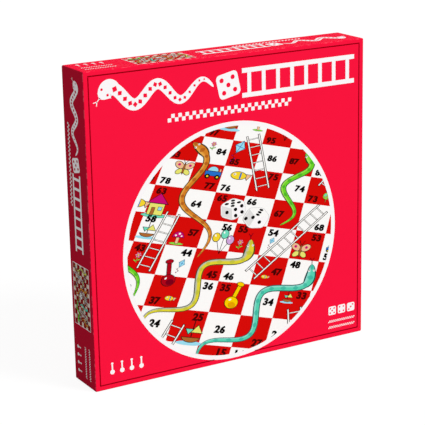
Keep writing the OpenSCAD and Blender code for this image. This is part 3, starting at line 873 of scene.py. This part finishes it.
def titleSnake(canvas, at, high, paper):
    width = title["body"] * high
    route = dict(title["snake"], swing=title["snake"]["swing"] * high, head=at(*title["snake"]["head"]),
                 tail=at(*title["snake"]["tail"]))
    canvas.snake("white", route, width, 0, face=False)
    for index in range(3, title["diamonds"] - 1):  # diamonds down the back
        share = index / title["diamonds"]
        run = snakeMiddle(route, share + halfStep) - snakeMiddle(route, share - halfStep)
        size = tuple(part * halfWidth(share, width) for part in title["diamond"])
        canvas.disc(paper, snakeMiddle(route, share), size, 1, headingOf(run), 4)
    side, brow, _ = headOf(route, titleHead)
    for hand in (-1, 1):
        eye = brow + side * hand * width * titleHead["apart"]
        canvas.disc(paper, eye, width * titleHead["eye"], 1, corners=16)
    canvas.tongue("white", route, width, titleHead, 0, 0)


def ornament(canvas, x, y, high, paper):
    def at(along, up=0.0):
        return Vector((x + (along - title["long"] / 2) * high, y + up * high))
    titleSnake(canvas, at, high, paper)
    die, turn = title["die"] * high, radians(title["dieTurn"])
    flatDie(canvas, at(title["dieAt"]), die, 5, paper, titleDie, turn)
    low, top, rail = at(title["ladderFrom"]), at(title["ladderTo"]), title["rail"] * high
    lift = Vector((0, (high - rail) / 2))
    for hand in (-1, 1):
        canvas.bar("white", low + lift * hand, top + lift * hand, rail, 1)
    for index in range(title["rungs"]):
        middle = low.lerp(top, (index + 0.5) / title["rungs"])
        canvas.bar("white", middle - lift, middle + lift, title["rung"] * high, 0)


# Small marks near the foot of the cover: pawns on the left, dice and two strips on the right
marks = {
    "pawns": 4, "pawn": 0.28, "tall": 1.5, "step": 1.3, "inset": 0.32, "x": 111.5, "pitch": 10.0,
    "dice": 25.5, "die": 8.0, "lines": (14.4, 8.8), "wide": 28.0, "squares": 26,
}


def printTitle():
    canvas = Canvas()
    wide, top = boxSide - 2 * title["margin"], boxSide / 2 - title["top"]
    high = wide / title["long"]
    ornament(canvas, 0.0, top - high / 2, high, "cover")
    strip = top - high * (1 + title["stripDrop"])
    chequerStrip(canvas, 0.0, strip, wide * title["strip"], title["squares"])
    pawn, low = high * marks["pawn"], high * marks["inset"] + cover["lineInset"] - boxSide / 2
    for index in range(marks["pawns"]):
        flatPawn(canvas, low + pawn * (0.5 + index * marks["step"]), low, pawn * marks["tall"])
    for index in range(3):
        centre = (marks["x"] + (index - 1) * marks["pitch"], marks["dice"] - boxSide / 2)
        flatDie(canvas, centre, marks["die"], 5 - index, "cover", markDie)
    for up in marks["lines"]:
        chequerStrip(canvas, marks["x"], up - boxSide / 2, marks["wide"], marks["squares"])
    canvas.lay("cover_title", "lid", onCover, slotName="white_ink")


def printLine():
    line, width = Canvas(), cover["line"]
    half, high = boxSide / 2 - cover["lineInset"], boxSide / 2 - cover["lineTop"]
    reach = sqrt(discRadius ** 2 - (discY + half) ** 2)  # the line stops at the disc
    for hand in (-1, 1):
        line.box("maroon", (hand * half, 0), (width, 2 * half), 0)
        line.bar("maroon", (hand * (half + width / 2), -half), (hand * reach, -half), width, 0)
    line.box("maroon", (0, high), (2 * half + width, width), 0)
    line.lay("cover_line", "lid", onCover, slotName="maroon_ink", replaced=["cover_print_line"])


printTitle()
printLine()
print("title printed")

# Sides: the same ornament, a small game picture and a few marks, read with the cover uppermost
side = {
    "title": 14.4, "end": 7.5, "gap": 11.5, "margin": 5.05, "drop": 0.38, "squares": 42,
    "columns": 13, "rows": 7, "frame": 0.8, "square": 1.14,
    "snake": 0.46, "swing": 0.40, "die": 1.3, "dieAt": (6.4, 3.4), "dieTurn": 15.0, "dieFaces": (5, 3, 1),
    "toys": 46, "toy": 1.6, "heavy": 2.8, "toysFrom": (0.7, 0.75), "toysLong": 11.6, "hop": 2.6,
    "band": 5.5,
    "marks": 28.0, "marksEnd": 6.5, "pawns": 4, "pawn": 7.0, "pawnsY": -13.0, "lines": (1.6, 9.0),
    "lineSquares": 26,
}
sideTitle = side["title"] * title["long"]
sidePicture = lidDepth - 2 * side["margin"]
sideCell = sidePicture / side["rows"]
sidePictureX = side["end"] + sideTitle + side["gap"] - boxSide / 2
sideLadderLook = {"width": 0.62, "rail": 0.15, "rung": 0.10, "step": 0.42, "edge": 0.03}
sideLadders = [((1.7, 0.6), (3.2, 4.4)), ((9.6, 2.0), (10.8, 6.2)), ((5.4, 4.0), (7.6, 6.3))]
sideSnakes = [
    ((4.4, 6.3), (6.2, 0.7), "orangeSnake", 1.5), ((12.4, 2.2), (7.6, 1.0), "greenSnake", 2.0),
    ((0.7, 6.4), (0.9, 1.4), "yellowSnake", 1.5), ((8.5, 6.3), (8.7, 2.6), "tealSnake", 1.0),
    ((12.0, 6.2), (11.6, 3.4), "orangeSnake", 1.0),
]
sideToys = (balloons, fish, house, flower, ball, mushroom, butterfly)


def onSide(name):
    def place(x, y, layer):
        out = boxSide / 2 + (layer + 1) * layerStep
        depth = coverY + lidDepth / 2 - y
        if name == "top":
            return Vector((-x, depth, out + boxSide / 2)) * mm
        if name == "left":
            return Vector((-out, depth, boxSide / 2 - x)) * mm
        return Vector((out, depth, boxSide / 2 + x)) * mm
    return place


def sideGame(canvas, red):
    wide, frame, low = sideCell * side["columns"], side["frame"], -sidePicture / 2
    canvas.box("dull", (sidePictureX + wide / 2, 0.0), (wide + 2 * frame, sidePicture + 2 * frame), 0,
               edge=frame, edgeInk="white")
    canvas.pen = (sidePictureX, low, sideCell)  # from here on in cells
    for column in range(side["columns"]):
        for row in range(column % 2, side["rows"], 2):
            canvas.box(red, (column + 0.5, row + 0.5), (side["square"],) * 2, 1)
    for foot, top in sideLadders:
        drawLadder(canvas, foot, top, sideLadderLook, 4)
    for head, tail, skinName, waves in sideSnakes:
        route = {"head": Vector(head), "tail": Vector(tail), "waves": waves, "swing": side["swing"]}
        canvas.snake(skinName, route, side["snake"], 7, steps=80)
    drawnDie(canvas, side["dieAt"], side["die"], side["dieTurn"], side["dieFaces"], 7)
    canvas.heavy = side["heavy"]
    firstX, firstY = side["toysFrom"]
    for index in range(side["toys"]):
        x = firstX + index * side["toysLong"] / side["toys"]
        y = firstY + index * side["hop"] % side["band"]
        canvas.pen = (sidePictureX + x * sideCell, low + y * sideCell, sideCell * side["toy"])
        sideToys[index * 3 % len(sideToys)](canvas)
    canvas.pen, canvas.heavy = (0.0, 0.0, 1.0), 1.0


def printSide(name, replaced):
    canvas = Canvas()
    middle = side["end"] + sideTitle / 2 - boxSide / 2
    # on the left and right walls the ornament's cut-outs show the side red, darkened as painted shade
    ornament(canvas, middle, 0.0, side["title"], "cover" if name == "top" else "side")
    chequerStrip(canvas, middle, -side["title"] * (0.5 + side["drop"]), sideTitle * title["strip"],
                 side["squares"])
    # on the left and right walls the squares are the chequer red darkened as painted shade
    sideGame(canvas, "chequer" if name == "top" else "shadedChequer")
    end = boxSide / 2 - side["marksEnd"]  # marks at the far end
    for index in range(side["pawns"]):
        x = end - side["marks"] * (index + 0.5) / side["pawns"]
        flatPawn(canvas, x, side["pawnsY"], side["pawn"])
    for up in side["lines"]:
        chequerStrip(canvas, end - side["marks"] / 2, up, side["marks"], side["lineSquares"])
    canvas.lay("side_print_" + name, "lid", onSide(name), slotName="white_ink", replaced=replaced)


for name in ("left", "top", "right"):
    printSide(name, ["side_print_white", "side_print_red"] if name == "left" else [])
print("sides printed")

# Box: paper over greyboard, folded round each rim
shell = {"corner": 1.2, "trayCorner": 0.9, "edge": 0.7, "paper": 0.25, "board": 1.6, "turnIn": 18.0,
         "rimRound": 0.55, "sharp": 40}


def openShell(low, high, opening, corner, edge):
    bm = bmesh.new()
    bmesh.ops.create_cube(bm, size=1.0)
    bmesh.ops.scale(bm, vec=high - low, verts=bm.verts)
    bmesh.ops.translate(bm, vec=(low + high) / 2, verts=bm.verts)
    bm.normal_update()
    bmesh.ops.delete(bm, geom=[face for face in bm.faces if face.normal.y * opening > 0.5],
                     context="FACES_ONLY")
    upright = [e for e in bm.edges if abs(e.verts[0].co.y - e.verts[1].co.y) > (high.y - low.y) / 2]
    roundOff(bm, upright, corner * mm, 6, "EDGES")
    closed = low.y if opening > 0 else high.y
    rim = [e for e in bm.edges if all(abs(v.co.y - closed) < 1e-6 for v in e.verts)]
    roundOff(bm, rim, edge * mm, 4, "EDGES")
    return bm


def foldRim(bm, low, high, opening):  # round the rim, and down inside the wall
    wall, bend = (shell["board"] + 2 * shell["paper"]) * mm, shell["rimRound"] * mm
    middle, half = (low + high) / 2, (high.x - low.x) / 2
    edge = high.y if opening > 0 else low.y
    loop = [e for e in bm.edges if e.is_boundary]
    for vert in {v for e in loop for v in e.verts}:
        vert.co.y = edge - opening * bend
    quarter = [pi / 8 * index for index in range(5)]
    steps = [(bend * (1 - cos(turn)), bend * (sin(turn) - 1)) for turn in quarter[1:]]
    steps += [(wall - bend + bend * sin(turn), bend * (cos(turn) - 1)) for turn in quarter]
    steps.append((wall, -shell["turnIn"] * mm))
    before = 0.0
    for inward, along in steps:
        made = bmesh.ops.extrude_edge_only(bm, edges=loop)["geom"]
        verts = [part for part in made if isinstance(part, bmesh.types.BMVert)]
        loop = [part for part in made if isinstance(part, bmesh.types.BMEdge)]
        shrink = (half - inward) / (half - before)
        bmesh.ops.scale(bm, vec=(shrink, 1.0, shrink), space=Matrix.Translation(-middle), verts=verts)
        for vert in verts:
            vert.co.y = edge + opening * along
        before = inward


def finishSheet(piece, thickness):  # thickness, then smooth over the round folds only
    solid = piece.modifiers.new("thickness", "SOLIDIFY")
    solid.thickness, solid.offset, solid.use_even_offset = thickness * mm, -1.0, True
    for polygon in piece.data.polygons:
        polygon.use_smooth = True
    piece.data.set_sharp_from_angle(angle=radians(shell["sharp"]))
    weighted = piece.modifiers.new("flatPanels", "WEIGHTED_NORMAL")
    weighted.keep_sharp, weighted.weight = True, 100
    return solid


def makeWrap(body, opening, corner, finish):
    low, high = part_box(body + "_wrap")
    bm = openShell(low, high, opening, corner, shell["edge"])
    foldRim(bm, low, high, opening)
    bmesh.ops.recalc_face_normals(bm, faces=bm.faces)
    piece = makePiece(body + "_paper", bm, [finish], body, [body + "_wrap"])
    finishSheet(piece, shell["paper"])


def makeBoard(body, opening, corner, finish):
    low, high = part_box(body + "_board")
    bm = openShell(low, high, opening, corner - shell["paper"], shell["edge"] - shell["paper"])
    bmesh.ops.recalc_face_normals(bm, faces=bm.faces)
    piece = makePiece(body + "_greyboard", bm, [finish], body, [body + "_board"])
    finishSheet(piece, shell["board"])


wearAndShadeLook = {  # rubbed corners, and painted shade along the rim's fold, its strength varied by the wear noise
    "scale": 260.0, "reach": 1.6 * mm, "least": 0.4 * mm, "rubbed": 0.35, "bare": (0.93, 0.16, 0.22),
    "fold": 0.9, "rimShade": 0.35, "rimShadeByNoise": 0.5, "dull": (0.20, 0.0, 0.012),
}


def coverPaper(name, colour, shadedSideColour, edgeY):
    finish = Finish(name, colour, filmLook["roughness"], filmLook["ior"])
    base = inking(finish, colour)
    glossFilm(finish)
    x, y, z = finish.axes()
    across, upward = abs(x), abs(z - boxSide / 2 * mm)
    inward = across.maths("MAXIMUM", across, upward) * -1.0 + boxSide / 2 * mm  # from the nearest wall
    onward = abs(y - edgeY * mm)  # from the cover's plane
    wearAndShadeNoise = finish.noise(wearAndShadeLook["scale"], 3.0, 0.6)
    # painted shade: the left and right walls take the darker side colour
    aside = across > (boxSide / 2 - shell["corner"] / 2) * mm  # left and right walls
    mottle = finish.noise(filmLook["mottleScale"], 3.0) * filmLook["mottle"]
    base = finish.mix(aside, base, finish.shaded(mottle, shadedSideColour, filmLook["dark"]))
    rubbed = ((inward + onward) < (wearAndShadeNoise * wearAndShadeLook["reach"] - wearAndShadeLook["least"])) * wearAndShadeLook["rubbed"]
    base = finish.mix(rubbed, base, wearAndShadeLook["bare"])
    # painted shade: the red darkened along the rim's fold, more where the wear noise is high
    rim = (onward > (lidDepth - wearAndShadeLook["fold"]) * mm) * (wearAndShadeNoise * wearAndShadeLook["rimShadeByNoise"] + wearAndShadeLook["rimShade"])
    finish.set("Base Color", finish.mix(rim, base, wearAndShadeLook["dull"]))
    return finish.material


greyLook = {  # recycled board: flecks drawn out one way, and a cloud
    "colour": (0.42, 0.40, 0.37), "roughness": 0.9, "dark": (0.30, 0.28, 0.25),
    "light": (0.52, 0.50, 0.46), "fleck": 700.0, "stretch": (1.0, 1.0, 0.35), "contrast": 1.6,
    "less": 0.45, "cloud": 60.0, "cloudShare": 0.3, "cloudColour": (0.44, 0.42, 0.40), "depth": 0.12,
}


def greyBoard():
    look = greyLook
    finish = Finish("greyBoard", look["colour"], look["roughness"])
    fleck = finish.noise(look["fleck"], 4.0, 0.7, look["stretch"])
    base = finish.mix((fleck * look["contrast"] - look["less"]).clipped(), look["dark"], look["light"])
    cloud = finish.noise(look["cloud"]) * look["cloudShare"]
    finish.set("Base Color", finish.mix(cloud, base, look["cloudColour"]))
    finish.bump(fleck, look["depth"] * mm)
    return finish.material


boardGrey = greyBoard()
trayRed = (0.90, 0.007, 0.043)
papers = {
    "lid": coverPaper("coverRed", inkColours["cover"], inkColours["side"], coverY),
    "tray": coverPaper("trayRed", trayRed, trayRed, -coverY),
}
for body, opening, corner in (("lid", 1, shell["corner"]), ("tray", -1, shell["trayCorner"])):
    makeWrap(body, opening, corner, papers[body])
    makeBoard(body, opening, corner, boardGrey)
print("box made")


# Plain finishes of the contents
paperLook = {"fibre": 0.25, "cloud": 0.1, "cloudScale": 45.0, "dark": 0.84}
linenLook = {"ior": 1.35, "weave": 0.25, "slub": 0.2, "slubScale": 400.0, "slubHigh": 0.4, "dark": 0.6}
plasticLook = {
    "roughness": 0.22, "ior": 1.49, "smooth": 0.15, "smear": 0.14, "smearScale": 220.0, "swirl": 0.3,
    "swirlScale": 90.0, "dark": 0.8, "wave": 320.0, "depth": 0.03, "under": 0.06, "underDeep": 2.0,
}


def plainPaper(name, colour, roughness, grain=1200.0, depth=0.04):
    finish = Finish(name, colour, roughness)
    fibre = finish.noise(grain, 4.0, 0.65)
    share = fibre * paperLook["fibre"] + finish.noise(paperLook["cloudScale"]) * paperLook["cloud"]
    finish.set("Base Color", finish.shaded(share, colour, paperLook["dark"]))
    finish.bump(fibre, depth * mm)
    return finish.material


def linen(name, colour, pitch, roughness, depth):
    finish = Finish(name, colour, roughness, linenLook["ior"])
    x, _, z = finish.axes()
    turns = 2 * pi / (pitch * mm)
    weave = (x * turns).sine() * (z * turns).sine()
    slub = finish.noise(linenLook["slubScale"], 3.0, 0.6)
    share = (weave * 0.5 + 0.5) * linenLook["weave"] + slub * linenLook["slub"]
    finish.set("Base Color", finish.shaded(share, colour, linenLook["dark"]))
    finish.bump(weave * 0.5 + slub * linenLook["slubHigh"], depth * mm)
    return finish.material


def plastic(name, colour):
    look = plasticLook
    finish = Finish(name, colour, look["roughness"], look["ior"], Subsurface_Weight=look["under"],
                    Subsurface_Scale=look["underDeep"] * mm)
    swirl = finish.noise(look["swirlScale"], 3.0, 0.6)
    finish.set("Base Color", finish.shaded(swirl * look["swirl"], colour, look["dark"]))
    finish.set("Roughness", finish.noise(look["smearScale"], 3.0) * look["smear"] + look["smooth"])
    finish.bump(finish.noise(look["wave"], 1.0), look["depth"] * mm)
    return finish.material


def dress(node, material):
    nodes[node].data.materials.clear()
    nodes[node].data.materials.append(material)


kraft = plainPaper("kraftTape", (0.56, 0.38, 0.20), 0.75, 700.0, 0.08)
whiteCard = plainPaper("whiteCard", (0.80, 0.79, 0.76), 0.6, 900.0)
leafFinish = {
    "core": boardGrey,
    "face": plainPaper("boardPaper", (0.88, 0.87, 0.83), 0.5),
    "back": linen("backingPaper", (0.50, 0.012, 0.03), 1.1, 0.5, 0.08),
    "tape": linen("hingeCloth", (0.10, 0.004, 0.010), 0.7, 0.7, 0.12),
}
for node in ("lid_corner_stays", "tray_corner_stays"):
    dress(node, kraft)
dress("rules_leaflet", plainPaper("rulesPaper", (0.84, 0.83, 0.80), 0.7))
for leaf in ("left", "right"):
    for layer, material in leafFinish.items():
        dress(f"board_{layer}_{leaf}", material)
dress("die", plastic("dieWhite", (0.86, 0.85, 0.80)))
dress("die_pips", plastic("pipBlack", (0.008, 0.008, 0.008)))
for name, colour in (("red", (0.58, 0.006, 0.012)), ("yellow", (0.86, 0.58, 0.008)),
                     ("green", (0.012, 0.30, 0.05)), ("blue", (0.012, 0.09, 0.50))):
    dress("pawn_" + name, plastic("pawn" + name.capitalize(), colour))

# Insert: one strip of card folded into a flap, bay, step, well and ledge, white outside and grey behind
fold = {"card": 0.6, "round": 0.9, "seat": 0.3, "well": (21.0, 107.0)}


def foldInsert():
    low, high = (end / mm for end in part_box("insert"))
    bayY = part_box("rules_leaflet")[1].y / mm + fold["seat"]
    stepX, floorY = -fold["card"] / 2, high.y - fold["card"]
    near, far = fold["well"]
    outline = [(low.x, high.y), (low.x, bayY), (stepX, bayY), (stepX, low.y), (near, low.y),
               (near, floorY), (far, floorY), (far, low.y), (high.x, low.y), (high.x, high.y)]
    bm = bmesh.new()
    points = [bm.verts.new(Vector((x, y, low.z)) * mm) for x, y in outline]
    for first, second in zip(points, points[1:]):
        bm.edges.new((first, second))
    roundOff(bm, points[1:-1], fold["round"] * mm, 5)
    made = bmesh.ops.extrude_edge_only(bm, edges=bm.edges[:])["geom"]
    raised = [part for part in made if isinstance(part, bmesh.types.BMVert)]
    bmesh.ops.translate(bm, vec=(0.0, 0.0, (high.z - low.z) * mm), verts=raised)
    bmesh.ops.recalc_face_normals(bm, faces=bm.faces)
    deck = min(bm.faces, key=lambda face: face.calc_center_median().y)
    if deck.normal.y > 0:  # the white side is towards the lid
        bmesh.ops.reverse_faces(bm, faces=bm.faces)
    piece = makePiece("insert_card", bm, [whiteCard, boardGrey], "insert", ["insert"])
    solid = finishSheet(piece, fold["card"])
    solid.material_offset, solid.material_offset_rim = 1, 1


foldInsert()
print("insert folded")

# The board's own print, one set on each leaf
faceLow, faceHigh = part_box("board_face_right")
leftLow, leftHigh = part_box("board_face_left")
game = {"hinge": 0.3, "margin": 7.0, "step": 0.03, "line": 0.03, "lineOut": 0.06, "lineOver": 0.07}
spineX = faceLow.x / mm - game["hinge"]
boardSide = (faceHigh.z - faceLow.z) / mm
boardCell = (boardSide - 2 * game["margin"]) / cells
boardMiddle = (faceHigh.z + faceLow.z) / 2 / mm


def onBoard(column, row):
    return (column - cells / 2) * boardCell, (row - cells / 2) * boardCell


def printLeaf(leaf, body, hand, columns):
    def onLeaf(x, y, layer):
        lift = (layer + 1) * game["step"]
        depth = (faceLow.y if leaf == "right" else leftHigh.y) / mm - hand * lift
        return Vector((spineX + hand * x, depth, boardMiddle + y)) * mm

    def clipToLeaf(bm):
        cut(bm, (hand * game["hinge"], 0, 0), (-hand, 0, 0))
    chequer, numbers, rails, bodies, playthings = gameCanvases(columns)
    half, line, out = cells / 2, game["line"], game["lineOut"]
    for row in (-out, cells + out):
        chequer.box("maroon", (half + hand * half / 2, row), (half + 2 * game["lineOver"], line), 1)
    chequer.box("maroon", (half + hand * (half + out), half), (line, cells + 2 * out + line), 1)
    for name, canvas, slotName, replaced in (
            ("chequer", chequer, "red_ink", "red"), ("numbers", numbers, None, None),
            ("ladders", rails, "white_ink", "ladders"), ("snakes", bodies, "green_ink", "snakes"),
            ("toys", playthings, None, None)):
        canvas.lay(f"board_{name}_{leaf}", body, onLeaf, onBoard, clipToLeaf, slotName,
                   [f"board_print_{replaced}_{leaf}"] if replaced else [])


printLeaf("left", "board_cover_leaf", -1, range(cells // 2))
printLeaf("right", "board_base_leaf", 1, range(cells // 2, cells))
print("board printed")

# Studio: white floor and background, one soft sun from the front right, an even sky
studio = {"sun": 2.54, "sunFrom": (0.49, -0.675, 0.55), "sunAngle": 25.0, "sky": 0.55, "floor": 0.36,
          "glow": 1.03, "glowShare": 0.88, "floorSize": 6.0}


def seenRays(tree):
    path = tree.nodes.new("ShaderNodeLightPath")
    camera, glossy, through = (Wire(tree, path.outputs[key]) for key in
                               ("Is Camera Ray", "Is Glossy Ray", "Is Transmission Ray"))
    return (camera + glossy + through).clipped()


def addFloor():
    bm = bmesh.new()
    bmesh.ops.create_grid(bm, x_segments=2, y_segments=2, size=studio["floorSize"])
    finish = Finish("floorWhite", (1, 1, 1), 1.0)
    finish.tree.nodes.remove(finish.shader)
    lit = finish.add("BsdfDiffuse", {}, {"Color": (1, 1, 1)})
    glow = finish.add("Emission", {}, {"Color": (1, 1, 1), "Strength": studio["glow"]})
    shown = finish.add("MixShader", {}, {0: studio["glowShare"], 1: lit, 2: glow})
    hidden = finish.add("BsdfDiffuse", {}, {"Color": (studio["floor"],) * 3})
    both = finish.add("MixShader", {}, {0: seenRays(finish.tree), 1: hidden, 2: shown})
    join(finish.tree, finish.tree.nodes["Material Output"].inputs["Surface"], both)
    makeMesh("floor", bm, [finish.material])


def addSun():
    lamp = bpy.data.lights.new("sun", "SUN")
    lamp.energy, lamp.angle = studio["sun"], radians(studio["sunAngle"])
    addObject("sun", lamp).rotation_euler = Vector(studio["sunFrom"]).to_track_quat("Z", "Y").to_euler()


def addSky():
    world = bpy.data.worlds.new("sky")
    world.use_nodes = True
    bpy.context.scene.world = world
    sky = world.node_tree.nodes["Background"]
    sky.inputs["Color"].default_value = (1, 1, 1, 1)
    join(world.node_tree, sky.inputs["Strength"],
         seenRays(world.node_tree) * (1.0 - studio["sky"]) + studio["sky"])


addFloor()
addSun()
addSky()
bpy.context.scene.view_settings.view_transform = "Standard"
print("studio lit")
